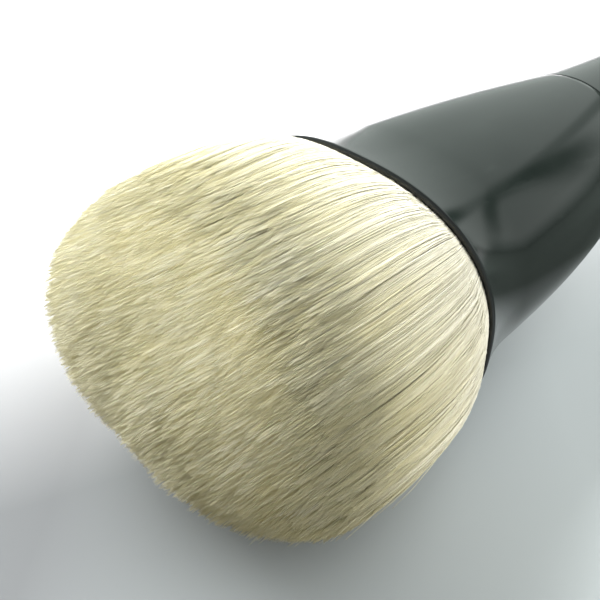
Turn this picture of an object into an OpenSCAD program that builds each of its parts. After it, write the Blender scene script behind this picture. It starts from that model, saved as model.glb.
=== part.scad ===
// Oval kabuki brush, lying on its flat side with the hair towards -X.
// Lengths run along the brush from the ferrule's mouth, towards the foot.

/* [Hair] */
// How far the hair stands out of the ferrule
head_len = 30.6; // [26:0.2:40]
// Widest part of the hair, across the flat of the brush
head_w = 43.8; // [38:0.2:54]
// Thickest part of the hair
head_t = 33.2; // [30:0.2:42]
// Distance from the mouth to the widest part
belly_w_x = 16.4; // [8:0.2:20]
// Distance from the mouth to the thickest part
belly_t_x = 12; // [6:0.2:18]
// How gradually the hair swells past the lip, smaller is sooner
swell_power = 0.7; // [0.5:0.05:1]
// Bluntness of the front seen from above, 2 is an ellipse
front_round_w = 2.7; // [1.6:0.1:4]
// Bluntness of the front seen from the side, 2 is an ellipse
front_round_t = 1.8; // [1.4:0.1:4]
// Rings of strands round the middle, ring k has 6 k strands
strand_rings = 11; // [10:1:12]
// Turn of the outermost ring against the middle, in degrees
strand_turn = 26; // [10:2:40]
// Share of its cell that a strand fills outside the ferrule
strand_fill = 0.84; // [0.6:0.02:0.9]
// Share of its cell that a strand fills at its tip
tip_fill = 0.4; // [0.2:0.05:0.8]
// Depth of the flat where the hair rests on the table
rest_flat = 0.5; // [0.3:0.1:1]
// Distance from the mouth to the layer that the strands grow out of
root_depth = 2; // [1.5:0.1:3]
// Thickness of that layer
root_layer = 1.5; // [1:0.1:3]

/* [Ferrule] */
// Length from the mouth to the seam
ferrule_len = 38.6; // [36:0.2:48]
// Mouth across the flat
mouth_w = 36.4; // [33:0.2:40]
// Mouth through the thickness
mouth_t = 27.6; // [26:0.2:32]
// Width behind the flared mouth
body_w = 31.4; // [28:0.2:33]
// Thickness behind the flared mouth
body_t = 24.6; // [23:0.2:26]
// How far back the mouth's flare reaches
flare_len = 9; // [6:0.5:12]
// Squareness of the mouth's oval, 2 is an ellipse
mouth_round = 2.5; // [2:0.1:3]
// How late the body narrows to the neck
taper_power = 2.4; // [1.6:0.1:4]
// Diameter at the seam
neck_d = 22.3; // [20:0.1:23]
// Thickness of the shell
shell = 0.8; // [0.6:0.05:1.2]

/* [Roots] */
// Length of the packed hair behind the root layer
core_len = 17.5; // [15:0.5:20]
// Width of the thread that ties the roots
thread_w = 3; // [2:0.5:5]
// Depth of the thread
thread_depth = 0.8; // [0.5:0.1:1.2]
// Distance from the end of the roots to the thread
thread_from_end = 5; // [4:0.5:7]
// Thickness of the glue's wall round the end of the roots
glue_wall = 1.2; // [0.8:0.1:2]
// Length of the roots that the glue holds
glue_grip = 3; // [2:0.2:3.6]
// Thickness of glue behind the roots
glue_back = 5; // [3:0.5:7]

/* [Handle] */
// Length from the seam to the foot
handle_len = 49; // [48:0.5:70]
// Diameter at the waist
waist_d = 19.9; // [17.5:0.1:21]
// Distance from the seam to the waist
waist_at = 28; // [22:0.5:30]
// Length of the straight band at the foot
foot_band = 3; // [2.5:0.5:5]
// Rounding of the foot's edge
foot_round = 0.6; // [0.3:0.1:1]
// Chamfer at the seam
seam_chamfer = 0.3; // [0.1:0.05:0.5]
// Diameter of the insert's spigot
spigot_d = 15; // [12:0.5:16]
// Length of the spigot
spigot_len = 12; // [8:0.5:14]
// Diameter of the weight
weight_d = 13; // [8:0.5:14]
// Length of the weight
weight_len = 18; // [10:0.5:19]
// Width of the handle's rim round the foot cap
cap_rim = 1.8; // [1.2:0.1:3]
// Thickness of the foot cap
cap_t = 2; // [1.5:0.1:3]
// Length of the boss that holds the weight down
boss_len = 1.5; // [1:0.1:3]

/* [Fits] */
// Gap between the packed hair and the shell
pack_gap = 0.15; // [0.1:0.05:0.3]
// Gap of the glued and pushed fits, on the radius
fit_gap = 0.06; // [0.04:0.01:0.12]
// Gap past the end of a spigot, a weight or a row of roots
end_gap = 0.2; // [0.1:0.05:0.5]

/* [Smoothness] */
// Sides of the ferrule
shell_sides = 60; // [48:4:72]
// Sides of the pieces inside the ferrule
core_sides = 40; // [32:4:48]

/* [Hidden] */
$fn = 96;

// The foot is as high as the hair's flat underside, so the brush lies level
axis_h = head_t / 2 - rest_flat;
foot_r = axis_h;
neck_r = neck_d / 2;
waist_r = waist_d / 2;
foot_x = ferrule_len + handle_len;
centre_x = (foot_x - head_len) / 2;

core_start = root_depth + root_layer;
core_end = core_start + core_len;
grip_start = core_end - glue_grip;
thread_end = core_end - thread_from_end;
thread_start = thread_end - thread_w;
glue_end = core_end + glue_back;
insert_start = glue_end + fit_gap;

core_inset = shell + pack_gap;
glue_inset = shell + fit_gap;
lip_r = shell / 2;
// The strands pass just inside the lip, and start to swell in front of it
brow_x = -0.3;
function past_lip(root, lip) = root + (lip - root) * (root_depth - brow_x) / (root_depth - lip_r);
brow_w = past_lip(half_w(root_depth) - core_inset, half_w(lip_r) - shell - fit_gap);
brow_t = past_lip(half_t(root_depth) - core_inset, half_t(lip_r) - shell - fit_gap);
// A strand has three corners at each of three levels past its root
corners = 3;
levels = 3;
// How much closer together the ferrule's rings are towards its mouth
crowding = 1.5;
// How far a cut runs past a face, and a joined solid into its neighbour
past = 1;

// Signed power, for an oval that is squarer than an ellipse
function spow(v, e) = sign(v) * pow(abs(v), e);

function mix(a, b, k) = a + (b - a) * k;

// Half sizes of the ferrule's outside at a distance from the mouth
function taper_at(x) = 1 - pow(max(x, 0) / ferrule_len, taper_power);
function flare_at(x) = pow(max(0, 1 - x / flare_len), 2);
function half_w(x) =
  (neck_d + (body_w - neck_d) * taper_at(x) + (mouth_w - body_w) * flare_at(x)) / 2;
function half_t(x) =
  (neck_d + (body_t - neck_d) * taper_at(x) + (mouth_t - body_t) * flare_at(x)) / 2;
function oval_power(x) = mix(mouth_round, 2, min(max(x, 0) / ferrule_len, 1));

// One closed ring of points inside the ferrule's outside by an inset
function oval_ring(x, inset, sides) = [
  for (i = [0 : sides - 1])
    let (t = 360 * i / sides, e = 2 / oval_power(x))
    [x, (half_w(x) - inset) * spow(cos(t), e), (half_t(x) - inset) * spow(sin(t), e)]
];

// Flattens a list of lists by one level
function flat(lists) = [for (l = lists) for (v = l) v];

// Two triangles for each side between two rings of points
function band(from, to, sides) = flat([
  for (j = [0 : sides - 1])
    let (k = (j + 1) % sides)
    [[from + k, to + k, to + j], [from + k, to + j, from + j]]
]);

// A solid through rings that run from its back to its front
module loft(rings) {
  sides = len(rings[0]);
  count = len(rings);
  back_point = count * sides;
  front_point = back_point + 1;
  last = (count - 1) * sides;
  points = concat(flat(rings), [[rings[0][0].x, 0, 0], [rings[count - 1][0].x, 0, 0]]);
  walls = flat([for (i = [0 : count - 2]) band(i * sides, (i + 1) * sides, sides)]);
  back = [for (j = [0 : sides - 1]) [back_point, (j + 1) % sides, j]];
  front = [for (j = [0 : sides - 1]) [front_point, last + j, last + (j + 1) % sides]];
  polyhedron(points = points, faces = concat(walls, back, front), convexity = 6);
}

// A closed ring-shaped solid whose last ring joins its first
module hoop(rings) {
  sides = len(rings[0]);
  count = len(rings);
  walls = flat([
    for (i = [0 : count - 1]) band(i * sides, ((i + 1) % count) * sides, sides)
  ]);
  polyhedron(points = flat(rings), faces = walls, convexity = 6);
}

// Puts a piece drawn along the brush onto the table
module lay() {
  translate([-centre_x, 0, axis_h]) children();
}

// Turns a profile round the brush, from a distance behind the mouth
module turned(from) {
  translate([from, 0, 0]) rotate([0, 90, 0]) rotate_extrude() children();
}

// A round bar along the brush
module bar(from, length, d) {
  translate([from, 0, 0]) rotate([0, 90, 0]) cylinder(h = length, d = d);
}

// Places on the unit disc: ring k has 6 k of them
function first_of(k) = k == 0 ? 0 : 1 + 3 * k * (k - 1);
function disc_at(k, j) =
  let (r = k / strand_rings, t = k == 0 ? 0 : 60 * j / k + strand_turn * r)
  r * [cos(t), sin(t)];
function place_of(k, j) = first_of(k) + (k == 0 ? 0 : j % (6 * k));

// The hair's front surface, as a distance in front of the mouth
function across(t) = pow(cos(t), 2);
function belly_x(t) = mix(belly_t_x, belly_w_x, across(t));
function front_power(t) = mix(front_round_t, front_round_w, across(t));
function tip_x(q) =
  let (t = atan2(q.y, q.x), r = min(norm(q), 1), p = front_power(t), b = belly_x(t))
  -(b + (head_len - b) * pow(1 - pow(r, p), 1 / p));

// Swelling of the hair from the lip, at 0, to the belly, at 1
function swell(x, b) =
  sin(90 * pow(min(max((brow_x - x) / (b + brow_x), 0), 1), swell_power));
function rise(x) = (root_depth - x) / (root_depth - brow_x);
function hair_half_w(x) = x > brow_x
  ? mix(half_w(root_depth) - core_inset, brow_w, rise(x))
  : mix(brow_w, head_w / 2, swell(x, belly_w_x));
function hair_half_t(x) = x > brow_x
  ? mix(half_t(root_depth) - core_inset, brow_t, rise(x))
  : mix(brow_t, head_t / 2, swell(x, belly_t_x));
function hair_power(x) = mix(mouth_round, 2, swell(x, belly_w_x));

// A place on the disc carried to a distance along the brush, flat underneath
function hair_point(q, x) =
  let (r = norm(q), t = atan2(q.y, q.x), e = 2 / hair_power(x))
  [x, hair_half_w(x) * r * spow(cos(t), e), max(hair_half_t(x) * r * spow(sin(t), e), -axis_h)];

// Where a strand has its levels, from the lip to its tip, and how much it fills there
function strand_x(tip, level) = mix(brow_x, tip, (level - 1) / (levels - 1));
function strand_share(level) = level == levels ? tip_fill : strand_fill;

// The three corners of the strand in ring k at step j, on the disc
function strand_cell(k, j) =
  let (side = floor(j / k))
  [disc_at(k, j), disc_at(k, j + 1), disc_at(k - 1, j - side)];
function strand_level(cell, level) =
  let (c = (cell[0] + cell[1] + cell[2]) / corners, s = strand_share(level))
  [for (v = cell) let (q = c + s * (v - c)) hair_point(q, strand_x(tip_x(q), level))];

// Three sides between two levels of one strand, given the corners' numbers
function strand_walls(a, b) = flat([
  for (i = [0 : corners - 1])
    let (n = (i + 1) % corners)
    [[a[n], b[n], b[i]], [a[n], b[i], a[i]]]
]);

module bristles() {
  rings = strand_rings;
  strands = [for (k = [1 : rings]) for (j = [0 : 6 * k - 1]) [k, j]];
  face_count = first_of(rings + 1);
  edge = first_of(rings);
  sides = 6 * rings;
  face = flat([
    for (k = [0 : rings]) [
      for (j = [0 : max(6 * k - 1, 0)]) hair_point(disc_at(k, j), root_depth)
    ]
  ]);
  back = [
    for (j = [0 : sides - 1])
      let (q = disc_at(rings, j), t = atan2(q.y, q.x), e = 2 / mouth_round)
      [
        core_start,
        (half_w(core_start) - core_inset) * spow(cos(t), e),
        (half_t(core_start) - core_inset) * spow(sin(t), e)
      ]
  ];
  hair = flat([
    for (s = strands) flat([for (m = [1 : levels]) strand_level(strand_cell(s[0], s[1]), m)])
  ]);
  points = concat(face, back, [[core_start, 0, 0]], hair);
  hair_from = face_count + sides + 1;
  strand_faces = flat([
    for (i = [0 : len(strands) - 1])
      let (
        k = strands[i][0],
        j = strands[i][1],
        side = floor(j / k),
        root = [place_of(k, j), place_of(k, j + 1), place_of(k - 1, j - side)],
        a = hair_from + levels * corners * i,
        lower = [a, a + 1, a + 2],
        upper = [a + 3, a + 4, a + 5],
        tip = [a + 6, a + 7, a + 8]
      )
      concat(strand_walls(root, lower), strand_walls(lower, upper), strand_walls(upper, tip), [tip])
  ]);
  ground = [
    for (k = [2 : rings]) for (j = [0 : 6 * k - 1])
      let (side = floor(j / k), step = j - side * k)
      if (step > 0) [place_of(k, j), place_of(k - 1, j - side), place_of(k - 1, j - side - 1)]
  ];
  rim = flat([
    for (j = [0 : sides - 1])
      let (n = (j + 1) % sides, b = face_count)
      [[b + n, edge + n, edge + j], [b + n, edge + j, b + j]]
  ]);
  behind = [
    for (j = [0 : sides - 1]) [face_count + sides, face_count + (j + 1) % sides, face_count + j]
  ];
  color("ivory") lay()
    polyhedron(points = points, faces = concat(strand_faces, ground, rim, behind), convexity = 20);
}

// Packed hair inside the ferrule, tied with thread and set in glue
module hair_core() {
  steps = 5;
  color("wheat") lay() loft(concat(
    [
      oval_ring(core_end, core_inset + glue_wall, core_sides),
      oval_ring(grip_start, core_inset + glue_wall, core_sides),
      oval_ring(grip_start, core_inset, core_sides),
      oval_ring(thread_end, core_inset, core_sides),
      oval_ring(thread_end, core_inset + thread_depth, core_sides),
      oval_ring(thread_start, core_inset + thread_depth, core_sides)
    ],
    [
      for (i = [0 : steps])
        oval_ring(mix(thread_start, core_start, i / steps), core_inset, core_sides)
    ]
  ));
}

// Thread round the roots, as one band
module root_binding() {
  outer = core_inset;
  inner = core_inset + thread_depth - fit_gap;
  color("linen") lay() hoop([
    oval_ring(thread_end - fit_gap, outer, core_sides),
    oval_ring(thread_start + fit_gap, outer, core_sides),
    oval_ring(thread_start + fit_gap, inner, core_sides),
    oval_ring(thread_end - fit_gap, inner, core_sides)
  ]);
}

// Resin that holds the ends of the roots in a shallow cup
module glue_plug() {
  steps = 4;
  cup = core_inset + glue_wall - fit_gap;
  color("goldenrod") lay() loft(concat(
    [
      for (i = [0 : steps])
        oval_ring(mix(glue_end, grip_start + fit_gap, i / steps), glue_inset, core_sides)
    ],
    [
      oval_ring(grip_start + fit_gap, cup, core_sides),
      oval_ring(core_end + fit_gap, cup, core_sides)
    ]
  ));
}

// Shell from the round neck to the oval mouth, with a rounded lip
module ferrule() {
  outer_steps = 14;
  inner_steps = 14;
  lip_steps = 4;
  outer = [
    for (i = [0 : outer_steps]) mix(lip_r, ferrule_len, pow(1 - i / outer_steps, crowding))
  ];
  inner = [
    for (i = [1 : inner_steps]) mix(lip_r, ferrule_len, pow(i / inner_steps, crowding))
  ];
  color("darkslategray") lay() hoop(concat(
    [for (x = outer) oval_ring(x, 0, shell_sides)],
    [
      for (i = [1 : lip_steps])
        let (t = 180 * i / lip_steps)
        oval_ring(lip_r * (1 - sin(t)), lip_r * (1 - cos(t)), shell_sides)
    ],
    [for (x = inner) oval_ring(x, shell, shell_sides)]
  ));
}

// Plug in the ferrule's neck, with the spigot that the handle sits on
module neck_insert() {
  steps = 4;
  color("dimgray") lay() {
    loft([
      for (i = [0 : steps])
        oval_ring(mix(ferrule_len, insert_start, i / steps), glue_inset, core_sides)
    ]);
    bar(ferrule_len - past, spigot_len + past, spigot_d);
  }
}

// Radius of an arc that is level at the waist and rises or falls by a drop over a length
function arc_r(length, drop) = (pow(length, 2) + pow(drop, 2)) / (2 * abs(drop));

// Half outline from the seam to the waist: hollow, straight or full, as the neck asks for
module front_outline() {
  drop = neck_r - waist_r;
  if (drop > 0) difference() {
    arc = arc_r(waist_at, drop);
    square([neck_r, waist_at]);
    translate([waist_r + arc, waist_at]) circle(r = arc, $fn = 1440);
  }
  else if (drop < 0) intersection() {
    arc = arc_r(waist_at, drop);
    square([waist_r, waist_at]);
    translate([waist_r - arc, waist_at]) circle(r = arc, $fn = 1440);
  }
  else square([waist_r, waist_at]);
}

// Half outline of the handle: a long and a short curve, and a straight foot
module handle_outline() {
  flare = handle_len - foot_band - waist_at;
  rear_arc = arc_r(flare, foot_r - waist_r);
  difference() {
    front_outline();
    translate([neck_r, 0]) rotate(45) square(seam_chamfer * sqrt(2), center = true);
  }
  translate([0, waist_at]) difference() {
    square([foot_r, flare]);
    translate([waist_r + rear_arc, 0]) circle(r = rear_arc, $fn = 360);
  }
  translate([0, handle_len - foot_band]) {
    square([foot_r - foot_round, foot_band]);
    square([foot_r, foot_band - foot_round]);
    translate([foot_r - foot_round, foot_band - foot_round]) circle(r = foot_round);
  }
}

module handle() {
  cap_seat = foot_x - cap_t;
  weight_bore = weight_len + boss_len + end_gap;
  color("darkslategray") lay() difference() {
    turned(ferrule_len) handle_outline();
    bar(ferrule_len - past, spigot_len + end_gap + past, spigot_d + 2 * fit_gap);
    bar(cap_seat - weight_bore, weight_bore + past, weight_d + 2 * fit_gap);
    bar(cap_seat, cap_t + past, 2 * (foot_r - cap_rim));
  }
}

module handle_weight() {
  color("silver") lay() bar(foot_x - cap_t - boss_len - weight_len, weight_len, weight_d);
}

// Flat foot that closes the handle and holds the weight
module foot_cap() {
  color("dimgray") lay() {
    bar(foot_x - cap_t, cap_t, 2 * (foot_r - cap_rim - fit_gap));
    bar(foot_x - cap_t - boss_len, boss_len + cap_t / 2, weight_d - 2 * fit_gap);
  }
}

bristles();
hair_core();
root_binding();
glue_plug();
ferrule();
neck_insert();
handle();
handle_weight();
foot_cap();
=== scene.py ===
"""Looks of an oval kabuki brush that lies on its flat side, hair towards -X."""

import logging
import math
from dataclasses import dataclass, field
from enum import Enum
from functools import cached_property

import bpy
import numpy as np
from bpy.types import Material, Node, NodeTree
from bpy.types import NodeSocket as Socket
from bpy.types import Object as Piece
from mathutils import Matrix, Vector


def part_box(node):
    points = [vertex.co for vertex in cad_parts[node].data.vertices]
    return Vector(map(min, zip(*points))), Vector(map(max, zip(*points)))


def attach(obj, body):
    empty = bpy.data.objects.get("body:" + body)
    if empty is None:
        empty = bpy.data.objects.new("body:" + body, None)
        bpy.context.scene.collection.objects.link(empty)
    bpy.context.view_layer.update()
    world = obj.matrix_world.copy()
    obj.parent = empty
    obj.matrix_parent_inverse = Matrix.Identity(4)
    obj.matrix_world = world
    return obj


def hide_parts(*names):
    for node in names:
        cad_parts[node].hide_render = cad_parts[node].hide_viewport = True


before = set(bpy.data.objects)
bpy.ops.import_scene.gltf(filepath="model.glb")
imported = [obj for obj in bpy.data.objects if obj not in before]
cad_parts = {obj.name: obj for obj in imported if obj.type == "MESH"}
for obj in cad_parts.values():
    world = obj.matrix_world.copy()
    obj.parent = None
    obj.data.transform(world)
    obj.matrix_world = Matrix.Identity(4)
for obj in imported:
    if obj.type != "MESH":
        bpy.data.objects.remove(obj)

LOG = logging.getLogger("kabuki_brush")
MM = 0.001
# The golden angle, in half turns
GOLDEN = 3 - math.sqrt(5)
Colour = tuple[float, float, float]
Place = tuple[float, float, float]
Span = tuple[float, float]
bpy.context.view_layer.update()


class Slot(Enum):
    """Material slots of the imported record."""

    HAIR = "hair"
    FERRULE = "ferrule_gloss"
    HANDLE = "handle_gloss"
    CAP = "cap_plastic"


class Marks(Enum):
    """Names of the point attributes that the hair's finish reads."""

    SHADE = "shade"
    ALONG = "along"


def signed_power(values: np.ndarray, power: float | np.ndarray) -> np.ndarray:
    """Raises sizes to a power and keeps their signs."""
    return np.sign(values) * np.abs(values) ** power


def mix(low: float | np.ndarray, high: float | np.ndarray, share: float | np.ndarray) -> np.ndarray:
    """A value between two others, by its share of the way."""
    return low + (high - low) * share


def smooth(values: np.ndarray) -> np.ndarray:
    """An even start and stop between 0 and 1."""
    clipped = np.clip(values, 0.0, 1.0)
    return clipped * clipped * (3.0 - 2.0 * clipped)


def radians(degrees: Span) -> Span:
    """Two angles in radians."""
    return math.radians(degrees[0]), math.radians(degrees[1])


@dataclass
class BrushFrame:
    """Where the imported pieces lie. Lengths run from the mouth towards the foot, in millimetres."""

    mouth_x: float = field(init=False)
    axis_z: float = field(init=False)
    ferrule_len: float = field(init=False)
    mouth_w: float = field(init=False)
    mouth_t: float = field(init=False)
    foot_at: float = field(init=False)
    foot_r: float = field(init=False)

    def __post_init__(self) -> None:
        """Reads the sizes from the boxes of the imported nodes."""
        low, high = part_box("ferrule")
        self.mouth_x = low.x
        self.axis_z = (low.z + high.z) / 2
        self.ferrule_len = (high.x - low.x) / MM
        self.mouth_w = (high.y - low.y) / MM
        self.mouth_t = (high.z - low.z) / MM
        low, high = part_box("handle")
        self.foot_at = (high.x - self.mouth_x) / MM
        self.foot_r = (high.y - low.y) / 2 / MM

    def place(self, points: np.ndarray) -> np.ndarray:
        """Carries rows of distance from the mouth, across and up, in millimetres, to the frame's metres."""
        return points * MM + np.array([self.mouth_x, 0.0, self.axis_z])


@dataclass
class OvalTube:
    """Outside of the ferrule, an oval that turns round towards the neck, in millimetres."""

    at: BrushFrame
    body_w: float = 31.4
    body_t: float = 24.6
    neck_d: float = 22.3
    flare_len: float = 9.0
    mouth_power: float = 2.5
    taper_power: float = 2.4

    def sizes(self, x: np.ndarray) -> tuple[np.ndarray, np.ndarray, np.ndarray]:
        """Half width, half thickness and squareness at distances behind the mouth.

        Args:
            x: Distances from the mouth towards the foot.

        Returns:
            Half widths, half thicknesses and powers of the oval.
        """
        along = np.clip(x / self.at.ferrule_len, 0.0, 1.0)
        taper = 1.0 - along ** self.taper_power
        flare = np.clip(1.0 - x / self.flare_len, 0.0, None) ** 2
        half_w, half_t = (
            (self.neck_d + (body - self.neck_d) * taper + (mouth - body) * flare) / 2
            for body, mouth in ((self.body_w, self.at.mouth_w), (self.body_t, self.at.mouth_t))
        )
        return half_w, half_t, mix(self.mouth_power, 2.0, along)

    def ring(self, x: float, inset: float, turns: np.ndarray) -> np.ndarray:
        """Points of one ring inside the outside by an inset.

        Args:
            x: Distance behind the mouth.
            inset: How far inside the surface.
            turns: Angles round the brush.

        Returns:
            Rows of distance, across and up.
        """
        half_w, half_t, power = (float(v) for v in self.sizes(np.array(float(x))))
        across = (half_w - inset) * signed_power(np.cos(turns), 2 / power)
        up = (half_t - inset) * signed_power(np.sin(turns), 2 / power)
        return np.stack([np.full_like(across, x), across, up], 1)


def new_piece(name: str, points: np.ndarray, faces: list[list[int]], smooth_faces: bool = True) -> Piece:
    """Makes a mesh object from points in metres.

    Args:
        name: Name of the piece.
        points: Rows of x, y and z.
        faces: Rows of point numbers.
        smooth_faces: Whether the faces are shaded smooth.

    Returns:
        The new object, in the scene.
    """
    mesh = bpy.data.meshes.new(name)
    mesh.from_pydata(points.tolist(), [], faces)
    mesh.polygons.foreach_set("use_smooth", np.full(len(mesh.polygons), smooth_faces))
    mesh.update()
    piece = bpy.data.objects.new(name, mesh)
    bpy.context.scene.collection.objects.link(piece)
    return piece


def grid_faces(rows: int, sides: int, closed: bool = False) -> list[list[int]]:
    """Four-cornered faces between rings of points.

    Args:
        rows: Number of rings.
        sides: Points in each ring.
        closed: Whether the last ring joins the first.

    Returns:
        Faces that look outwards where the rings run from the foot to the hair.
    """
    last = rows if closed else rows - 1
    starts = [(i * sides, (i + 1) % rows * sides) for i in range(last)]
    steps = [(j, (j + 1) % sides) for j in range(sides)]
    return [[a + j, a + k, b + k, b + j] for a, b in starts for j, k in steps]


def lathe(at: BrushFrame, name: str, outline: list[Span], sides: int) -> Piece:
    """Turns an outline round the brush's axis into a closed piece.

    Args:
        at: Where the brush lies.
        name: Name of the piece.
        outline: Distances from the mouth and radii, from one place on the axis to another.
        sides: Steps round the axis.

    Returns:
        The new piece.
    """
    turns = np.arange(sides) * 2 * math.pi / sides
    rings = [(x, r) for x, r in outline if r > 0]
    points = [np.stack([np.full(sides, x), r * np.cos(turns), r * np.sin(turns)], 1) for x, r in rings]
    ends = np.array([[outline[0][0], 0.0, 0.0], [outline[-1][0], 0.0, 0.0]])
    faces = grid_faces(len(rings), sides)
    first, last = len(rings) * sides, len(rings) * sides + 1
    top = (len(rings) - 1) * sides
    faces += [[first, (j + 1) % sides, j] for j in range(sides)]
    faces += [[last, top + j, top + (j + 1) % sides] for j in range(sides)]
    return new_piece(name, at.place(np.concatenate([*points, ends])), faces)


def arc(centre: Span, radius: float, start: float, stop: float, steps: int) -> list[Span]:
    """Points of an arc between two angles in degrees from the foot's direction, as distances and radii."""
    turns = np.radians(np.linspace(start, stop, steps + 1))
    return [(centre[0] + radius * math.cos(t), centre[1] + radius * math.sin(t)) for t in turns]


def sharpen(piece: Piece, angle: float = 30.0) -> None:
    """Keeps edges sharp where faces meet at more than an angle, in degrees."""
    piece.data.set_sharp_from_angle(angle=math.radians(angle))


class Wiring:
    """A short way to add and join shader nodes in one tree."""

    def __init__(self, tree: NodeTree) -> None:
        """Keeps the tree that nodes are added to."""
        self.tree = tree

    def feed(self, node: Node, name: str | int, value: object) -> None:
        """Sets or links one input of a node.

        Args:
            node: The node.
            name: Name or number of its input.
            value: A number, a colour or an output socket.
        """
        socket = node.inputs[name]
        if isinstance(value, Socket):
            self.tree.links.new(value, socket)
        elif isinstance(value, tuple) and socket.type == "RGBA":
            socket.default_value = (*value, 1.0)
        else:
            socket.default_value = value

    def fill(self, node: Node, **inputs: object) -> Node:
        """Sets or links named inputs of a node.

        Args:
            node: The node.
            inputs: Values or sockets for its inputs, with underscores for spaces.

        Returns:
            The node.
        """
        for name, value in inputs.items():
            self.feed(node, name.replace("_", " "), value)
        return node

    def add(self, kind: str, settings: dict | None = None, *values: object, **inputs: object) -> Node:
        """Adds a node.

        Args:
            kind: Its type, without the prefix.
            settings: Properties of the node.
            values: Values or sockets for its first inputs, in order.
            inputs: Values or sockets for its inputs by name, with underscores for spaces.

        Returns:
            The node.
        """
        node = self.tree.nodes.new("ShaderNode" + kind)
        for name, value in (settings or {}).items():
            setattr(node, name, value)
        for number, value in enumerate(values):
            self.feed(node, number, value)
        return self.fill(node, **inputs)

    def maths(self, operation: str, *values: object) -> Socket:
        """The result of an operation on numbers."""
        return self.add("Math", {"operation": operation}, *values).outputs[0]

    def measure(self, operation: str, *values: object) -> Socket:
        """The number that an operation on vectors gives, such as a length."""
        return self.add("VectorMath", {"operation": operation}, *values).outputs["Value"]

    def between(
        self, value: Socket, low: float, high: float, to_low: float = 0.0, to_high: float = 1.0
    ) -> Socket:
        """A value carried from one range to another, and held at its ends."""
        ends = {"From_Min": low, "From_Max": high, "To_Min": to_low, "To_Max": to_high}
        return self.add("MapRange", {"clamp": True}, Value=value, **ends).outputs["Result"]

    def blend(self, share: object, first: object, second: object) -> Socket:
        """A colour between two colours.

        Args:
            share: How much of the second.
            first: First colour or socket.
            second: Second colour or socket.

        Returns:
            The output socket.
        """
        node = self.add("Mix", {"data_type": "RGBA"})
        for number, value in ((0, share), (6, first), (7, second)):
            self.feed(node, number, value)
        return node.outputs[2]

    def ramp(self, share: Socket, stops: tuple[tuple[float, Colour], ...]) -> Socket:
        """A colour picked from a ramp.

        Args:
            share: Where on the ramp.
            stops: Places and colours.

        Returns:
            The output socket.
        """
        node = self.add("ValToRGB", Fac=share)
        elements = node.color_ramp.elements
        while len(elements) < len(stops):
            elements.new(0.5)
        for element, (place, colour) in zip(elements, stops):
            element.position = place
            element.color = (*colour, 1.0)
        return node.outputs[0]

    def object_place(self) -> Socket:
        """The place on the piece, in metres."""
        return self.add("TexCoord").outputs["Object"]


@dataclass(frozen=True)
class HairShades:
    """Colours of one hair, and where they change from the mouth, at 0, to the front, at 1. The whiter root
    colour is painted light and the yellower tip colour is painted shade.
    """

    hues: tuple[tuple[float, Colour], ...] = (
        (0.0, (0.60, 0.53, 0.26)),
        (0.35, (0.78, 0.735, 0.47)),
        (0.7, (0.845, 0.815, 0.60)),
        (1.0, (0.89, 0.875, 0.74)),
    )
    # Painted light: the root colour makes the hair whiter near the mouth.
    root: Colour = (0.88, 0.865, 0.75)
    painted_root_light_fade: Span = (0.05, 0.5)
    # Painted shade: the tip colour makes the hair yellower towards the front.
    tip: Colour = (0.86, 0.83, 0.63)
    tip_fade: Span = (0.86, 1.0)
    painted_tip_shade_share: float = 0.5


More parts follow.
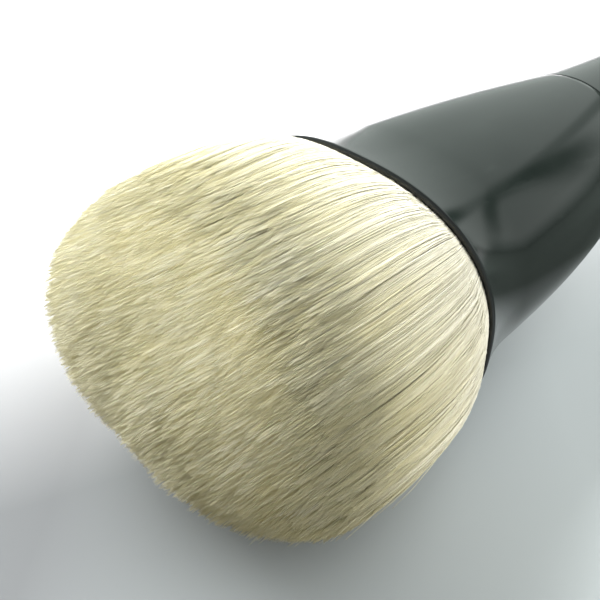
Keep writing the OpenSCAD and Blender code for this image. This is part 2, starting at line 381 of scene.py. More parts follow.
@dataclass
class Effects:
    """Node groups that the finishes use, each made once, with the bands of noise that they take."""

    shades: HairShades = HairShades()
    hairline_stretch: Place = (160.0, 900.0, 900.0)
    hairline_band: Span = (0.62, 0.72)
    smear_scale: float = 85.0
    smear_band: Span = (0.35, 0.7)
    broad_share: float = 0.02

    def group(self, name: str, inputs: dict, outputs: dict) -> tuple[NodeTree, Wiring, Node, Node]:
        """An empty group with named sockets.

        Args:
            name: Name of the group.
            inputs: Number inputs with their usual values.
            outputs: Outputs with Float, Color or Vector as their kind.

        Returns:
            The group, its wiring, its input node and its output node.
        """
        tree = bpy.data.node_groups.new(name, "ShaderNodeTree")
        for title, value in inputs.items():
            socket = tree.interface.new_socket(title, in_out="INPUT", socket_type="NodeSocketFloat")
            socket.default_value = value
        for title, kind in outputs.items():
            tree.interface.new_socket(title, in_out="OUTPUT", socket_type="NodeSocket" + kind)
        return tree, Wiring(tree), tree.nodes.new("NodeGroupInput"), tree.nodes.new("NodeGroupOutput")

    @cached_property
    def fibre(self) -> NodeTree:
        """Colour of one hair by its own shade mark and the way along it, whitened at the root as painted
        light and yellowed at the tip as painted shade, and a mask of its tip.

        Returns:
            The group.
        """
        outputs = {"Color": "Color", "Tip": "Float"}
        tree, wires, given, result = self.group("hair_fibre", {"Depth": 1.0}, outputs)
        shade = wires.add("Attribute", {"attribute_name": Marks.SHADE.value}).outputs["Fac"]
        along = wires.add("Attribute", {"attribute_name": Marks.ALONG.value}).outputs["Fac"]
        hue = wires.ramp(shade, self.shades.hues)
        # Painted light: the colour turns whiter towards the root.
        root = wires.between(along, *self.shades.painted_root_light_fade, 1.0, 0.0)
        body = wires.blend(wires.maths("MULTIPLY", root, given.outputs["Depth"]), hue, self.shades.root)
        tip = wires.between(along, *self.shades.tip_fade)
        # Painted shade: the tip blends towards a yellower colour.
        colour = wires.blend(wires.maths("MULTIPLY", tip, self.shades.painted_tip_shade_share), body, self.shades.tip)
        wires.fill(result, Color=colour, Tip=tip)
        return tree

    @cached_property
    def handling(self) -> NodeTree:
        """Faint smears and hairline scratches on a polished surface.

        Returns:
            The group.
        """
        inputs, outputs = {"Scale": 1.0, "Smear": 0.5, "Scratch": 0.5}, {"Wear": "Float", "Height": "Float"}
        tree, wires, given, result = self.group("handling_marks", inputs, outputs)
        place, scale = wires.object_place(), given.outputs["Scale"]
        broad = wires.maths("MULTIPLY", scale, self.smear_scale)
        smear = wires.add("TexNoise", Vector=place, Scale=broad, Detail=4.0, Roughness=0.6).outputs["Fac"]
        stretched = wires.add("Mapping", Vector=place, Scale=self.hairline_stretch).outputs[0]
        line = wires.add("TexNoise", Vector=stretched, Scale=scale, Detail=3.0).outputs["Fac"]
        smears = wires.maths("MULTIPLY", wires.between(smear, *self.smear_band), given.outputs["Smear"])
        fine = wires.between(line, *self.hairline_band)
        scratches = wires.maths("MULTIPLY", fine, given.outputs["Scratch"])
        wires.feed(result, "Wear", wires.maths("ADD", smears, scratches))
        wires.feed(result, "Height", wires.maths("MULTIPLY", scratches, -1.0))
        return tree

    @cached_property
    def grain(self) -> NodeTree:
        """Fine even grain of a moulded or cast surface.

        Returns:
            The group.
        """
        outputs = {"Height": "Float", "Tone": "Float"}
        tree, wires, given, result = self.group("moulded_grain", {"Scale": 4000.0}, outputs)
        place, scale = wires.object_place(), given.outputs["Scale"]
        fine = wires.add("TexNoise", Vector=place, Scale=scale, Detail=2.0)
        scale = wires.maths("MULTIPLY", scale, self.broad_share)
        broad = wires.add("TexNoise", Vector=place, Scale=scale, Detail=3.0)
        wires.fill(result, Height=fine.outputs["Fac"], Tone=broad.outputs["Fac"])
        return tree


EFFECTS = Effects()


def new_material(name: str) -> tuple[Material, Wiring, Node]:
    """A material with an empty tree but for its shader and output.

    Args:
        name: Name of the material.

    Returns:
        The material, its wiring and its main shader.
    """
    material = bpy.data.materials.new(name)
    material.use_nodes = True
    material.node_tree.nodes.clear()
    wires = Wiring(material.node_tree)
    shader = wires.add("BsdfPrincipled")
    wires.add("OutputMaterial", Surface=shader.outputs[0])
    return material, wires, shader


def place_group(wires: Wiring, group: NodeTree, **inputs: float) -> Node:
    """Puts a node group into a material, with its values there, and returns its node."""
    return wires.fill(wires.add("Group", {"node_tree": group}), **inputs)


@dataclass(frozen=True)
class HairFinish:
    """Fine creamy hair, a little glossy along its length."""

    name: str = "creamy_hair"
    roughness: float = 0.42
    tip_roughness: float = 0.57
    gloss: float = 0.2
    # How much painted light whitens the roots.
    painted_root_light: float = 0.8

    def make(self) -> Material:
        """Builds the material.

        Returns:
            The material.
        """
        material, wires, shader = new_material(self.name)
        fibre = place_group(wires, EFFECTS.fibre, Depth=self.painted_root_light)
        rough = wires.between(fibre.outputs["Tip"], 0.0, 1.0, self.roughness, self.tip_roughness)
        wires.fill(shader, Base_Color=fibre.outputs["Color"], Roughness=rough, Specular_IOR_Level=self.gloss)
        return material


@dataclass(frozen=True)
class HairMassFinish:
    """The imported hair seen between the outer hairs, in fine streaks."""

    name: str = "hair_mass"
    dark: Colour = (0.74, 0.68, 0.42)
    light: Colour = (0.84, 0.80, 0.59)
    stretch: Place = (220.0, 4200.0, 4200.0)
    streak_band: Span = (0.35, 0.65)
    roughness: float = 0.6
    gloss: float = 0.25

    def make(self) -> Material:
        """Builds the material.

        Returns:
            The material.
        """
        material, wires, shader = new_material(self.name)
        along = wires.add("Mapping", Vector=wires.object_place(), Scale=self.stretch).outputs[0]
        streak = wires.add("TexNoise", Vector=along, Scale=1.0, Detail=3.0, Roughness=0.6).outputs["Fac"]
        colour = wires.blend(wires.between(streak, *self.streak_band), self.dark, self.light)
        bump = wires.add("Bump", Strength=0.6, Distance=0.0001, Height=streak).outputs[0]
        wires.fill(shader, Base_Color=colour, Normal=bump)
        wires.fill(shader, Roughness=self.roughness, Specular_IOR_Level=self.gloss)
        return material


@dataclass(frozen=True)
class GlossFinish:
    """Polished black lacquer with faint smears, darker and duller along the lip."""

    name: str
    base: Colour = (0.009, 0.013, 0.011)
    bloom: Colour = (0.020, 0.026, 0.023)
    roughness: float = 0.13
    worn_roughness: float = 0.25
    smear: float = 0.35
    scratch: float = 0.3
    lip_at: float | None = None
    lip_len: float = 0.36
    lip_sharpness: float = 0.8
    lip: Colour = (0.001, 0.002, 0.002)
    lip_dulling: float = 0.25

    def make(self) -> Material:
        """Builds the material.

        Returns:
            The material.
        """
        material, wires, shader = new_material(self.name)
        marks = place_group(wires, EFFECTS.handling, Smear=self.smear, Scratch=self.scratch)
        wear = marks.outputs["Wear"]
        colour = wires.blend(wear, self.base, self.bloom)
        rough = wires.between(wear, 0.0, 1.0, self.roughness, self.worn_roughness)
        if self.lip_at is not None:
            spot = wires.add("SeparateXYZ", Vector=wires.object_place()).outputs[0]
            length = self.lip_len * MM
            edge = wires.between(spot, self.lip_at + length, self.lip_at + length * self.lip_sharpness)
            colour = wires.blend(edge, colour, self.lip)
            rough = wires.maths("ADD", rough, wires.maths("MULTIPLY", edge, self.lip_dulling))
        bump = wires.add("Bump", Strength=0.15, Distance=0.00002, Height=marks.outputs["Height"]).outputs[0]
        wires.fill(shader, Base_Color=colour, Roughness=rough, Normal=bump, IOR=1.48)
        return material


@dataclass(frozen=True)
class GrainFinish:
    """A moulded or cast surface with an even fine grain."""

    name: str
    dark: Colour
    light: Colour
    roughness: float = 0.5
    scale: float = 4000.0
    strength: float = 0.3
    metallic: float = 0.0
    unevenness: float = 0.06
    tone_band: Span = (0.3, 0.7)

    def make(self) -> Material:
        """Builds the material.

        Returns:
            The material.
        """
        material, wires, shader = new_material(self.name)
        grain = place_group(wires, EFFECTS.grain, Scale=self.scale)
        tone = grain.outputs["Tone"]
        colour = wires.blend(tone, self.dark, self.light)
        least, most = self.roughness - self.unevenness, self.roughness + self.unevenness
        rough = wires.between(tone, *self.tone_band, least, most)
        height = grain.outputs["Height"]
        bump = wires.add("Bump", Strength=self.strength, Distance=0.00003, Height=height).outputs[0]
        wires.fill(shader, Base_Color=colour, Roughness=rough, Normal=bump, Metallic=self.metallic)
        return material


def dress(piece: Piece, material: Material) -> None:
    """Gives a piece one material."""
    piece.data.materials.clear()
    piece.data.materials.append(material)


def settle(piece: Piece, node: str) -> Piece:
    """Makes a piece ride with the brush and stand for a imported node.

    Args:
        piece: The piece.
        node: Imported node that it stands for.

    Returns:
        The piece.
    """
    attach(piece, "root")
    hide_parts(node)
    return piece


@dataclass(frozen=True)
class HairBand:
    """One set of hairs, between two places from the middle, at 0, to the edge, at 1.

    A length counts back from the tip, and without one the hairs start at their roots. A stray is
    how far, in millimetres, single hairs stand off the rest.
    """

    name: str
    count: int
    inner: float
    outer: float
    steps: int
    length: float | None = None
    stray: float = 0.0


@dataclass(frozen=True)
class Tousle:
    """How hairs gather in locks and stray from them, in millimetres and in shares."""

    lock: float = 0.55
    wide_lock: float = 2.6
    turn_jitter: float = 0.02
    radius_jitter: float = 0.003
    overshoot: float = 0.15
    loss_shape: float = 1.3
    loss: float = 0.6
    lock_reach: float = 0.36
    wide_reach: float = 0.3
    loose_from: float = 0.18
    pull: float = 0.08
    more_pull: float = 0.34
    wide_pull: float = 0.06
    fluff: float = 0.07
    lock_drift: float = 0.22
    wide_drift: float = 0.28
    draw_in: float = 0.022
    least_stray: float = 0.3
    floor_gap: float = 0.06
    floor_scatter: float = 0.25
    shade: float = 0.6
    lock_shade: float = 0.28
    wide_shade: float = 0.22
    shade_jitter: float = 0.08
    shade_ends: Span = (0.03, 0.97)


@dataclass
class HairHead:
    """The domed head of hair, in millimetres in front of the mouth."""

    at: BrushFrame
    tube: OvalTube
    tousle: Tousle = Tousle()
    head_len: float = 30.6
    head_w: float = 43.8
    head_t: float = 33.2
    belly_w_at: float = 16.4
    belly_t_at: float = 12.0
    swell_power: float = 0.7
    round_w: float = 2.7
    round_t: float = 1.8
    brow_at: float = 0.3
    brow_inset: float = 0.72
    root_inset: float = 0.95
    root_at: float = -2.0
    long_count: int = 16000
    long_steps: int = 7
    outer_from: tuple[float, ...] = (0.92, 0.94, 0.95, 0.96)
    short_count: int = 44000
    short_steps: int = 3
    short_len: float = 8.5
    front_bands: tuple[Span, ...] = ((0.0, 0.45), (0.45, 0.66), (0.66, 0.84), (0.84, 0.96), (0.88, 0.98))
    flyaway_count: int = 140
    flyaway_steps: int = 8
    flyaway_from: float = 0.7
    flyaway_stray: float = 1.3
    hair_r: float = 0.042
    hair_r_spread: Span = (0.75, 1.2)
    tip_r: float = 0.016
    taper_from: float = 0.55
    mass_depth: float = 1.6
    mass_share: float = 0.97
    mass_bow: float = 0.8
    mass_lift: float = 0.3
    mass_sides: int = 180
    mass_rows: int = 48
    mass_root_rows: int = 3
    mass_side_rows: int = 9
    seed: int = 7

    def __post_init__(self) -> None:
        """Starts the one source of random numbers."""
        self.random = np.random.default_rng(self.seed)

    def tip_at(self, radius: np.ndarray, turn: np.ndarray) -> np.ndarray:
        """How far a hair reaches.

        Args:
            radius: Its place between the middle, at 0, and the edge, at 1.
            turn: Its direction round the brush.

        Returns:
            Distances in front of the mouth.
        """
        flatness = np.cos(turn) ** 2
        power = mix(self.round_t, self.round_w, flatness)
        belly = mix(self.belly_t_at, self.belly_w_at, flatness)
        return belly + (self.head_len - belly) * (1 - np.clip(radius, 0, 1) ** power) ** (1 / power)

    def swell(self, ahead: np.ndarray, belly: float) -> np.ndarray:
        """Share of the swelling from the lip, at 0, to the belly, at 1, at distances ahead of the mouth."""
        way = np.clip((ahead - self.brow_at) / (belly - self.brow_at), 0, 1)
        return np.sin(np.pi / 2 * way ** self.swell_power)

    def spread(self, radius: np.ndarray, turn: np.ndarray, ahead: np.ndarray) -> np.ndarray:
        """Places of hairs at distances in front of the mouth.

        Args:
            radius: Place between the middle and the edge.
            turn: Direction round the brush.
            ahead: Distance in front of the mouth.

        Returns:
            Rows of distance from the mouth towards the foot, across and up.
        """
        root_w, root_t, _ = self.tube.sizes(np.array(-self.root_at))
        rise = np.clip((ahead - self.root_at) / (self.brow_at - self.root_at), 0, 1)
        swell_w, swell_t = self.swell(ahead, self.belly_w_at), self.swell(ahead, self.belly_t_at)
        brow_w, brow_t = self.at.mouth_w / 2 - self.brow_inset, self.at.mouth_t / 2 - self.brow_inset
        half_w = mix(mix(root_w - self.root_inset, brow_w, rise), self.head_w / 2, swell_w)
        half_t = mix(mix(root_t - self.root_inset, brow_t, rise), self.head_t / 2, swell_t)
        power = 2 / mix(self.tube.mouth_power, 2.0, swell_w)
        across = half_w * radius * signed_power(np.cos(turn), power)
        up = half_t * radius * signed_power(np.sin(turn), power)
        return np.stack([-ahead + 0 * across, across, up], -1)

    def locks(self, spots: np.ndarray, size: float, salt: int) -> tuple[np.ndarray, np.ndarray]:
        """Gathers hairs into locks round scattered centres.

        Args:
            spots: Places across the brush, in millimetres.
            size: Usual distance between locks.
            salt: Keeps one set of locks apart from another.

        Returns:
            The offset of each hair from its lock's centre, and three random numbers for each lock.
        """
        cell = np.floor(spots / size).astype(int)
        best = np.full(len(spots), np.inf)
        offset = np.zeros_like(spots)
        luck = np.zeros((len(spots), 3))
        for i in (-1, 0, 1):
            for j in (-1, 0, 1):
                near = cell + (i, j)
                dice = self.dice(near, salt)
                gap = (near + dice[:, :2]) * size - spots
                far = np.linalg.norm(gap, axis=1)
                closer = far < best
                best[closer] = far[closer]
                offset[closer] = gap[closer]
                luck[closer] = dice[closer, 2:5]
        return offset, luck

    def dice(self, cells: np.ndarray, salt: int) -> np.ndarray:
        """Five random numbers for each cell of a grid, always the same for one cell."""
        mixed = cells[:, :1] * 127.1 + cells[:, 1:] * 311.7 + salt * 74.7 + np.arange(5) * 19.19
        return np.modf(np.abs(np.sin(mixed) * 43758.5453))[0]

    def hairs(self, band: HairBand) -> Piece:
        """Builds many separate hairs as one mesh.

        Args:
            band: Which hairs.

        Returns:
            The new piece.
        """
        dice, ways, count = self.random, self.tousle, band.count
        order = np.arange(count) + 0.5
        radius = np.sqrt(mix(band.inner ** 2, band.outer ** 2, order / count))
        turn = order * math.pi * GOLDEN + dice.normal(0, ways.turn_jitter, count)
        radius = np.clip(radius + dice.normal(0, ways.radius_jitter, count), 0, band.outer)
        flat = self.spread(radius, turn, np.full(count, self.belly_w_at))[:, 1:]
        near, small = self.locks(flat, ways.lock, 1)
        wide, large = self.locks(flat, ways.wide_lock, 2)
        reach = self.tip_at(radius, turn) + ways.overshoot - dice.gamma(ways.loss_shape, ways.loss, count)
        reach = reach + (small[:, 0] - 0.5) * ways.lock_reach + (large[:, 0] - 0.5) * ways.wide_reach
        back = reach - (np.inf if band.length is None else band.length)
        start = np.maximum(back, self.root_at)
        share = np.linspace(0, 1, band.steps + 1)
        ahead = start[:, None] + (reach - start)[:, None] * share[None, :]
        path = self.spread(radius[:, None], turn[:, None], ahead)
        way = (ahead - self.brow_at) / (reach - self.brow_at)[:, None]
        free = smooth((way - ways.loose_from) / (1 - ways.loose_from))
        pull = near * (ways.pull + ways.more_pull * small[:, 1:2]) + wide * ways.wide_pull * large[:, 1:2]
        drift = dice.normal(0, ways.fluff, (count, 2)) + (small[:, 1:3] - 0.5) * ways.lock_drift
        drift = drift + (large[:, 1:3] - 0.5) * ways.wide_drift
        path[:, :, 1:] += free[:, :, None] * (pull + drift)[:, None, :]
        path[:, :, 1:] *= (1 - ways.draw_in * free)[:, :, None]
        if band.stray:
            out = path[:, -1, 1:] - path[:, 0, 1:]
            out = out / np.maximum(np.linalg.norm(out, axis=1, keepdims=True), 1e-6)
            far = band.stray * dice.uniform(ways.least_stray, 1.0, count)
            path[:, :, 1:] += (free ** 2)[:, :, None] * (out * far[:, None])[:, None, :]
        floor = -self.at.axis_z / MM + ways.floor_gap
        path[:, :, 2] = np.maximum(path[:, :, 2], floor + dice.uniform(0, ways.floor_scatter, (count, 1)))
        shade = ways.shade + ways.lock_shade * (small[:, 2] - 0.5) + ways.wide_shade * (large[:, 2] - 0.5)
        shade = np.clip(shade + dice.normal(0, ways.shade_jitter, count), *ways.shade_ends)
        return self.strand_mesh(band.name, path, shade, ahead / self.head_len)

    def strand_mesh(self, name: str, path: np.ndarray, shade: np.ndarray, along: np.ndarray) -> Piece:
        """Makes closed three-sided hairs along paths.

        Args:
            name: Name of the piece.
            path: For each hair, its points in millimetres.
            shade: Shade of each hair, from 0 to 1.
            along: Share of the way from the mouth to the front, for each point.

        Returns:
            The new piece.
        """
        count, levels, _ = path.shape
        ahead = np.gradient(path, axis=1)
        ahead /= np.maximum(np.linalg.norm(ahead, axis=2, keepdims=True), 1e-9)
        side = np.cross(ahead, (0.0, 0.0, 1.0))
        side /= np.maximum(np.linalg.norm(side, axis=2, keepdims=True), 1e-9)
        up = np.cross(side, ahead)
        thick = self.hair_r * self.random.uniform(*self.hair_r_spread, (count, 1))
        share = (np.linspace(0, 1, levels)[None, :] - self.taper_from) / (1 - self.taper_from)
        radius = self.tip_r + (thick - self.tip_r) * (1 - smooth(share))
        spin = self.random.uniform(0, 2 * math.pi, (count, 1, 1))
        turns = spin + np.arange(3)[None, None, :] * 2 * math.pi / 3
        ring = side[:, :, None] * np.cos(turns)[..., None] + up[:, :, None] * np.sin(turns)[..., None]
        points = path[:, :, None] + radius[:, :, None, None] * ring
        k = np.arange(3)
        low = np.arange(levels - 1)[:, None] * 3
        quads = np.stack([low + k, low + (k + 1) % 3, low + 3 + (k + 1) % 3, low + 3 + k], -1).reshape(-1, 4)
        ends = np.array([[2, 1, 0], [3 * levels - 3, 3 * levels - 2, 3 * levels - 1]])
        base = np.arange(count)[:, None, None] * (3 * levels)
        faces = (quads[None] + base).reshape(-1, 4).tolist() + (ends[None] + base).reshape(-1, 3).tolist()
        piece = new_piece(name, self.at.place(points.reshape(-1, 3)), faces)
        self.mark(piece, np.repeat(shade, 3 * levels), np.repeat(np.clip(along, 0, 1).reshape(-1), 3))
        return piece

    def mark(self, piece: Piece, shade: np.ndarray, along: np.ndarray) -> None:
        """Gives the points of hairs their shade and place, and charts the same two for the export.

        Args:
            piece: The hairs, with three points on each ring.
            shade: Shade of each point, from 0 to 1.
            along: Share of the way from the mouth to the front, for each point.
        """
        for mark, values in ((Marks.SHADE, shade), (Marks.ALONG, along)):
            layer = piece.data.attributes.new(mark.value, "FLOAT", "POINT")
            layer.data.foreach_set("value", values.astype(np.float32))
        margin, lane_gap = 0.01, 0.002
        lane = np.tile(np.array([-lane_gap, 0.0, lane_gap]), len(along) // 3)
        fit = 1 - 2 * margin
        spots = np.stack([margin + fit * along, margin + fit * shade + lane], 1)
        corners = np.empty(len(piece.data.loops), np.int32)
        piece.data.loops.foreach_get("vertex_index", corners)
        chart = piece.data.uv_layers.new(name="OFBake")
        chart.uv.foreach_set("vector", spots[corners].astype(np.float32).ravel())

    def mass(self) -> Piece:
        """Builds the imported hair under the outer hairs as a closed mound.

        Returns:
            The new piece.
        """
        sides = self.mass_sides
        turns = np.arange(sides) * 2 * math.pi / sides
        shrink = 1 - self.mass_depth / (self.head_t / 2)
        edge = self.tip_at(np.ones(sides), turns)
        rings = []
        for ahead in np.linspace(self.root_at, self.brow_at, self.mass_root_rows + 1)[:-1]:
            rings.append(self.spread(np.full(sides, self.mass_share), turns, np.full(sides, ahead)))
        for way in np.linspace(0, 1, self.mass_side_rows + 1)[:-1]:
            radius = np.full(sides, mix(self.mass_share, shrink, way))
            rings.append(self.spread(radius, turns, mix(self.brow_at, edge, way)))
        for share in np.linspace(0, 1, self.mass_rows):
            radius = np.full(sides, math.cos(share * math.pi / 2) ** self.mass_bow if share < 1 else 0.0)
            reach = self.tip_at(radius, turns) - self.mass_depth * share
            rings.append(self.spread(radius * shrink, turns, reach))
        points = np.concatenate(rings[:-1] + [rings[-1][:1], rings[0][:1] * (1, 0, 0)])
        count = len(rings) - 1
        faces = grid_faces(count, sides)
        tip, root, top = count * sides, count * sides + 1, (count - 1) * sides
        faces += [[tip, top + j, top + (j + 1) % sides] for j in range(sides)]
        faces += [[root, (j + 1) % sides, j] for j in range(sides)]
        points[:, 2] = np.maximum(points[:, 2], -self.at.axis_z / MM + self.mass_lift)
        return new_piece("hair_mass", self.at.place(points), faces)

    def bands(self) -> list[HairBand]:
        """Lists the sets of hairs: long ones round the side, short ones in front, and loose ones.

        Returns:
            The sets, in the order in which they are built.
        """
        long_each = self.long_count // len(self.outer_from)
        short_each = self.short_count // len(self.front_bands)
        sets = [
            HairBand(f"hair_outer_{number}", long_each, inner, 1.0, self.long_steps)
            for number, inner in enumerate(self.outer_from, 1)
        ]
        sets += [
            HairBand(f"hair_front_{number}", short_each, inner, outer, self.short_steps, self.short_len)
            for number, (inner, outer) in enumerate(self.front_bands, 1)
        ]
        count, inner, stray = self.flyaway_count, self.flyaway_from, self.flyaway_stray
        return [*sets, HairBand("flyaway_hairs", count, inner, 1.0, self.flyaway_steps, stray=stray)]

    def build(self) -> list[Piece]:
        """Builds and dresses every piece of the head.

        Returns:
            The pieces.
        """
        finish = HairFinish().make()
        pieces = [self.hairs(band) for band in self.bands()]
        for piece in pieces:
            dress(piece, finish)
        mass = self.mass()
        dress(mass, HairMassFinish().make())
        return [settle(piece, "bristles") for piece in (*pieces, mass)]


@dataclass
class Ferrule:
    """The polished shell from the round neck to the oval mouth, in millimetres."""

    at: BrushFrame
    tube: OvalTube
    shell: float = 0.8
    back_round: float = 0.12
    back_share: float = 0.3
    sides: int = 288
    rows: int = 72
    row_power: float = 1.4
    inner_rows: int = 22
    lip_steps: int = 8

    def build(self) -> list[Piece]:
        """Builds and dresses the shell.

        Returns:
            The one piece.
        """
        turns = np.arange(self.sides) * 2 * math.pi / self.sides
        lip, end, part = self.shell / 2, self.at.ferrule_len, self.back_round * self.back_share
        places = [(end, self.shell), (end, self.back_round), (end - part, part)]
        for share in np.linspace(1, 0, self.rows):
            places.append((mix(lip, end - self.back_round, share ** self.row_power), 0.0))
        for angle in np.linspace(0, math.pi, self.lip_steps + 1)[1:]:
            places.append((lip * (1 - math.sin(angle)), lip * (1 - math.cos(angle))))
        for share in np.linspace(0, 1, self.inner_rows + 2)[1:-1]:
            places.append((mix(lip, end, share), self.shell))
        rings = np.concatenate([self.tube.ring(x, inset, turns) for x, inset in places])
        piece = new_piece("ferrule_shell", self.at.place(rings), grid_faces(len(places), self.sides, True))
        dress(piece, GlossFinish("ferrule_lacquer", lip_at=self.at.mouth_x).make())
        return [settle(piece, "ferrule")]


@dataclass
class Handle:
    """The waisted handle on its flat foot, in millimetres."""

    at: BrushFrame
    tube: OvalTube
    waist_d: float = 19.9
    waist_at: float = 28.0
    foot_band: float = 3.0
    foot_round: float = 0.6
    chamfer: float = 0.3
    spigot_d: float = 15.12
    spigot_len: float = 12.2
    weight_d: float = 13.12
    weight_bore: float = 19.7
    cap_rim: float = 1.8
    cap_t: float = 2.0
    cap_gap: float = 0.06
    cap_edge: float = 0.25
    boss_len: float = 1.5
    neck_steps: int = 30
    flare_steps: int = 26
    round_steps: int = 6
    sides: int = 192

    def curve(self, x: float) -> float:
        """Radius of the two hollow arcs.

        Args:
            x: Distance behind the seam.

        Returns:
            The radius there.
        """
        waist = self.waist_d / 2
        span, rim = self.waist_at, self.tube.neck_d / 2
        if x >= self.waist_at:
            span = self.at.foot_at - self.at.ferrule_len - self.foot_band - self.waist_at
            rim = self.at.foot_r
        drop = rim - waist
        bend = (span ** 2 + drop ** 2) / (2 * drop)
        return waist + bend - math.sqrt(bend ** 2 - (x - self.waist_at) ** 2)

    def body_outline(self) -> list[Span]:
        """The handle's whole outline, from the end of one bore to the end of the other.

        Returns:
            Distances from the mouth and radii.
        """
        seam, foot = self.at.ferrule_len, self.at.foot_at
        seat, bore = foot - self.cap_t, self.weight_d / 2
        points = [(seat - self.weight_bore, 0.0), (seat - self.weight_bore, bore), (seat, bore)]
        points += [(seat, self.at.foot_r - self.cap_rim), (foot, self.at.foot_r - self.cap_rim)]
        corner = (foot - self.foot_round, self.at.foot_r - self.foot_round)
        points += arc(corner, self.foot_round, 0, 90, self.round_steps)
        neck = np.linspace(self.chamfer, self.waist_at, self.neck_steps)
        flare = np.linspace(self.waist_at, foot - seam - self.foot_band, self.flare_steps)
        points += [(seam + x, self.curve(x)) for x in np.concatenate([neck, flare[1:]])[::-1]]
        points += [(seam, self.curve(0) - self.chamfer), (seam, self.spigot_d / 2)]
        points += [(seam + self.spigot_len, self.spigot_d / 2), (seam + self.spigot_len, 0.0)]
        return points

    def cap_outline(self) -> list[Span]:
        """The foot cap's outline, from the middle of its face to the end of its boss.

        Returns:
            Distances from the mouth and radii.
        """
        foot, radius = self.at.foot_at, self.at.foot_r - self.cap_rim - self.cap_gap
        back, boss = foot - self.cap_t, self.weight_d / 2 - self.cap_gap * 2
        face = [(foot, 0.0), (foot, radius - self.cap_edge), (foot - self.cap_edge, radius), (back, radius)]
        return face + [(back, boss), (back - self.boss_len, boss), (back - self.boss_len, 0.0)]

    def build(self) -> list[Piece]:
        """Builds and dresses the handle and its foot cap.

        Returns:
            The pieces.
        """
        body = lathe(self.at, "handle_body", self.body_outline(), self.sides)
        dress(body, GlossFinish("handle_lacquer").make())
        cap = lathe(self.at, "foot_pad", self.cap_outline(), self.sides)
        dark, light = (0.012, 0.014, 0.014), (0.022, 0.025, 0.025)
        satin = GrainFinish("cap_satin", dark, light, roughness=0.42, scale=3500.0, strength=0.35)
        dress(cap, satin.make())
        for piece in (body, cap):
            sharpen(piece)
        return [settle(body, "handle"), settle(cap, "foot_cap")]


class InnerPieces:
    """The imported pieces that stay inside, given their own finishes."""

    FINISHES = {
        "hair_core": GrainFinish(
            "packed_roots", (0.45, 0.40, 0.22), (0.62, 0.57, 0.35), roughness=0.6, scale=6000.0, strength=0.6
        ),
        "root_binding": GrainFinish(
            "waxed_thread", (0.52, 0.50, 0.42), (0.64, 0.62, 0.52), roughness=0.55, scale=8000.0, strength=0.6
        ),
        "glue_plug": GrainFinish(
            "amber_resin", (0.45, 0.28, 0.08), (0.55, 0.36, 0.12), roughness=0.2, scale=900.0, strength=0.1
        ),
        "neck_insert": GrainFinish("insert_grain", (0.012, 0.012, 0.012), (0.02, 0.02, 0.02)),
        "handle_weight": GrainFinish(
            "turned_steel", (0.52, 0.52, 0.54), (0.62, 0.62, 0.64), 0.32, 3000.0, strength=0.2, metallic=1.0
        ),
    }

    def build(self) -> list[Piece]:
        """Dresses each packed inner node.

        Returns:
            The nodes' objects.
        """
        made = []
        for node, finish in self.FINISHES.items():
            dress(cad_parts[node], finish.make())
            made.append(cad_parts[node])
        return made


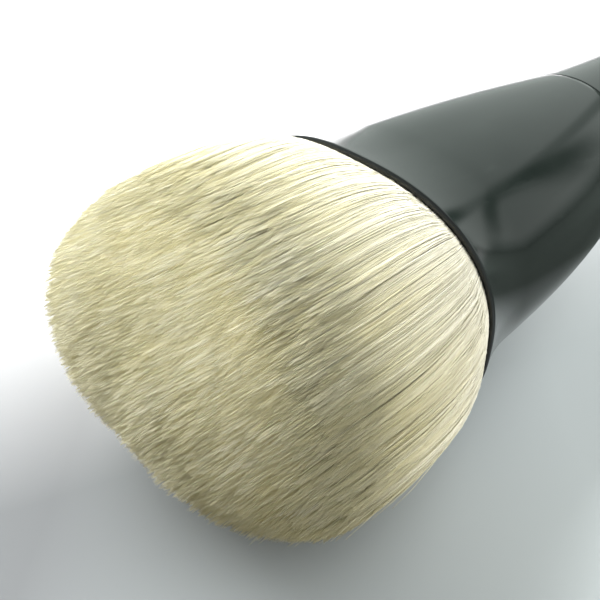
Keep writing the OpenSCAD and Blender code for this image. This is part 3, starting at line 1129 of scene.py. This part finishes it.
@dataclass
class PaleFloor:
    """The floor, in metres and degrees, with painted light and shade: white far away, pale grey near the
    camera and darker to the left.

    Diffuse rays see a dark warm tone that it throws on the hair as painted shade, and polished faces mirror
    one darker part as a painted reflection.
    """

    at: BrushFrame
    size: float = 4.0
    # Painted light and shade: the floor is white far away, grey near the camera and darker to the left.
    far: Colour = (0.90, 0.90, 0.91)
    far_way: Place = (0.35, 0.94, 0.0)
    far_band: Span = (-0.015, 0.07)
    painted_shade_left: Colour = (0.15, 0.158, 0.162)
    right: Colour = (0.50, 0.55, 0.55)
    right_way: Place = (0.7, -0.7, 0.0)
    right_band: Span = (-0.05, 0.005)
    white_from: Span = (0.3, 0.6)
    # Painted shade on the hair: the dark warm tone that diffuse rays see.
    bounce: Colour = (0.17, 0.15, 0.09)
    # Painted reflection: the darker tone that polished faces see beside the ferrule.
    mirrored: Colour = (0.08, 0.095, 0.088)
    painted_reflection_from: Span = (0.028, 0.05)
    painted_reflection_sides: tuple[Span, Span] = ((4.0, -10.0), (-75.0, -60.0))

    def painted_reflection_mask(self, wires: Wiring, place: Socket) -> Socket:
        """Mask of the part beside the ferrule that polished faces mirror darker, a painted reflection.

        Args:
            wires: Wiring of the material.
            place: Place on the floor.

        Returns:
            The mask's socket.
        """
        mouth = (self.at.mouth_x, 0.0, 0.0)
        spot = wires.add("VectorMath", {"operation": "SUBTRACT"}, place, mouth).outputs["Vector"]
        parts = wires.add("SeparateXYZ", Vector=spot).outputs
        side = wires.maths("ARCTAN2", parts[1], parts[0])
        mask = wires.between(wires.measure("LENGTH", spot), *self.painted_reflection_from)
        for span in self.painted_reflection_sides:
            mask = wires.maths("MULTIPLY", mask, wires.between(side, *radians(span)))
        return mask

    def build(self) -> None:
        """Lays the floor."""
        half = self.size / 2
        corners = np.array([[-half, -half, 0], [half, -half, 0], [half, half, 0], [-half, half, 0]])
        piece = new_piece("floor", corners, [[0, 1, 2, 3]], False)
        material, wires, shader = new_material("pale_floor")
        place = wires.object_place()
        path = wires.add("LightPath").outputs
        # Painted light and shade: the tone is lighter far away and darker to the left.
        far = wires.between(wires.measure("DOT_PRODUCT", place, self.far_way), *self.far_band)
        across = wires.between(wires.measure("DOT_PRODUCT", place, self.right_way), *self.right_band)
        tone = wires.blend(far, wires.blend(across, self.painted_shade_left, self.right), self.far)
        # Painted shade on the hair: diffuse rays see the dark warm bounce tone.
        tone = wires.blend(path["Is Diffuse Ray"], tone, self.bounce)
        # Painted reflection: polished faces see a darker part beside the ferrule.
        mirrored = wires.maths("MULTIPLY", self.painted_reflection_mask(wires, place), path["Is Glossy Ray"])
        away = wires.between(wires.measure("LENGTH", place), *self.white_from)
        glow = wires.maths("MULTIPLY", away, path["Is Camera Ray"])
        white = wires.blend(glow, (0.0, 0.0, 0.0), (1.0, 1.0, 1.0))
        wires.fill(shader, Base_Color=wires.blend(mirrored, tone, self.mirrored), Emission_Color=white)
        wires.fill(shader, Emission_Strength=1.0, Roughness=0.7, Specular_IOR_Level=0.2)
        dress(piece, material)


@dataclass(frozen=True)
class DarkStrip:
    """A dark strip of the room, with turns in degrees and heights from 0 to 1.

    Its middle has one turn at each of two heights. Each fade carries heights to weights.
    """

    heights: Span
    turns: Span
    edge: Span
    fades: tuple[tuple[float, ...], ...]

    def mask(self, wires: Wiring, turn: Socket, height: Socket) -> Socket:
        """Where the strip is.

        Args:
            wires: Wiring of the world.
            turn: Direction round the room.
            height: Height of the direction.

        Returns:
            The mask's socket.
        """
        middle = wires.between(height, *self.heights, *radians(self.turns))
        off = wires.maths("ABSOLUTE", wires.maths("SUBTRACT", turn, middle))
        mask = wires.between(off, *radians(self.edge))
        for fade in self.fades:
            mask = wires.maths("MULTIPLY", mask, wires.between(height, *fade))
        return mask


@dataclass
class Room:
    """What polished faces mirror: a pale wall with two dark strips. It is white to the camera."""

    wall: Colour = (0.88, 0.96, 0.92)
    zenith: Colour = (0.62, 0.65, 0.64)
    zenith_at: Span = (0.55, 0.85)
    low: Colour = (0.32, 0.37, 0.35)
    low_at: Span = (0.16, 0.02)
    low_turn: Span = (-8.0, -14.0)
    dark: Colour = (0.03, 0.055, 0.045)
    fill: Colour = (0.04, 0.037, 0.028)
    strips: tuple[DarkStrip, DarkStrip] = (
        DarkStrip(
            heights=(0.25, 0.5),
            turns=(-15.0, -9.0),
            edge=(8.0, 3.2),
            fades=((0.75, 0.55), (0.12, 0.38, 0.25, 1.0)),
        ),
        DarkStrip(
            heights=(0.10, 0.56),
            turns=(11.5, -6.0),
            edge=(5.0, 2.0),
            fades=((0.0, 0.08), (0.62, 0.52), (0.2, 0.34, 1.0, 0.5)),
        ),
    )

    def mirrored(self, wires: Wiring) -> Socket:
        """Colour of the room in each direction.

        Args:
            wires: Wiring of the world.

        Returns:
            The colour's socket.
        """
        way = wires.add("SeparateXYZ", Vector=wires.add("TexCoord").outputs["Generated"]).outputs
        turn, height = wires.maths("ARCTAN2", way[1], way[0]), way[2]
        strip, slant = (strip.mask(wires, turn, height) for strip in self.strips)
        sky = wires.blend(wires.between(height, *self.zenith_at), self.wall, self.zenith)
        beside = wires.between(turn, *radians(self.low_turn))
        low = wires.maths("MULTIPLY", wires.between(height, *self.low_at), beside)
        sky = wires.blend(low, sky, self.low)
        return wires.blend(wires.maths("MAXIMUM", strip, slant), sky, self.dark)

    def build(self) -> None:
        """Sets the world: weak even light, the room for polished faces, white for the camera."""
        world = bpy.data.worlds.new("studio")
        world.use_nodes = True
        world.node_tree.nodes.clear()
        wires = Wiring(world.node_tree)
        path = wires.add("LightPath").outputs
        colour = wires.blend(path["Is Glossy Ray"], self.fill, self.mirrored(wires))
        light = wires.add("Background", Color=colour, Strength=1.0)
        white = wires.add("Background", Color=(1.0, 1.0, 1.0), Strength=1.0)
        both = wires.add("MixShader", None, path["Is Camera Ray"], light.outputs[0], white.outputs[0])
        wires.add("OutputWorld", Surface=both.outputs[0])
        bpy.context.scene.world = world


@dataclass(frozen=True)
class Lamp:
    """A soft square lamp that polished faces don't mirror, in metres and watts."""

    name: str
    place: Place
    size: float
    power: float
    target: Place = (-0.01, 0.0, 0.015)

    def build(self) -> None:
        """Hangs the lamp."""
        data = bpy.data.lights.new(self.name, "AREA")
        data.shape, data.size, data.energy = "SQUARE", self.size, self.power
        lamp = bpy.data.objects.new(self.name, data)
        bpy.context.scene.collection.objects.link(lamp)
        lamp.location = self.place
        lamp.visible_glossy = False
        lamp.rotation_euler = (Vector(self.target) - Vector(self.place)).to_track_quat("-Z", "Y").to_euler()


@dataclass
class Studio:
    """Floor, room, lamps and the camera at the photograph's angle, in millimetres from the mouth."""

    at: BrushFrame
    eye: Place = (-45.38, -42.03, 45.91)
    azimuth: float = -41.78
    elevation: float = 39.09
    roll: float = -0.2
    lens: float = 42.44
    sensor: float = 36.0
    reach: Span = (0.005, 20.0)
    lamps: tuple[Lamp, Lamp] = (
        Lamp("window", place=(-0.02, 0.41, 0.27), size=0.5, power=11.9),
        Lamp("side", place=(0.14, -0.24, 0.36), size=0.75, power=4.5),
    )

    def camera(self) -> None:
        """Places the camera."""
        data = bpy.data.cameras.new("camera")
        data.lens, data.sensor_width = self.lens, self.sensor
        data.clip_start, data.clip_end = self.reach
        camera = bpy.data.objects.new("camera", data)
        bpy.context.scene.collection.objects.link(camera)
        a, e = radians((self.azimuth, self.elevation))
        back = Vector((math.sin(a) * math.cos(e), -math.cos(a) * math.cos(e), math.sin(e)))
        roll = Matrix.Rotation(math.radians(self.roll), 3, "Z")
        turn = (-back).to_track_quat("-Z", "Y").to_matrix() @ roll
        eye = Vector(self.at.place(np.array(self.eye)))
        camera.matrix_world = Matrix.Translation(eye) @ turn.to_4x4()
        bpy.context.scene.camera = camera

    def build(self) -> None:
        """Builds the whole studio."""
        self.camera()
        for part in (PaleFloor(self.at), Room(), *self.lamps):
            part.build()
        bpy.context.scene.view_settings.view_transform = "Standard"


def main() -> None:
    """Builds the brush and its studio, and reports each piece."""
    logging.basicConfig(level=logging.INFO, format="%(name)s: %(message)s")
    at = BrushFrame()
    tube = OvalTube(at)
    Studio(at).build()
    for maker in (HairHead(at, tube), Ferrule(at, tube), Handle(at, tube), InnerPieces()):
        for piece in maker.build():
            LOG.info("%s: %d faces", piece.name, len(piece.data.polygons))


if __name__ == "__main__":
    main()
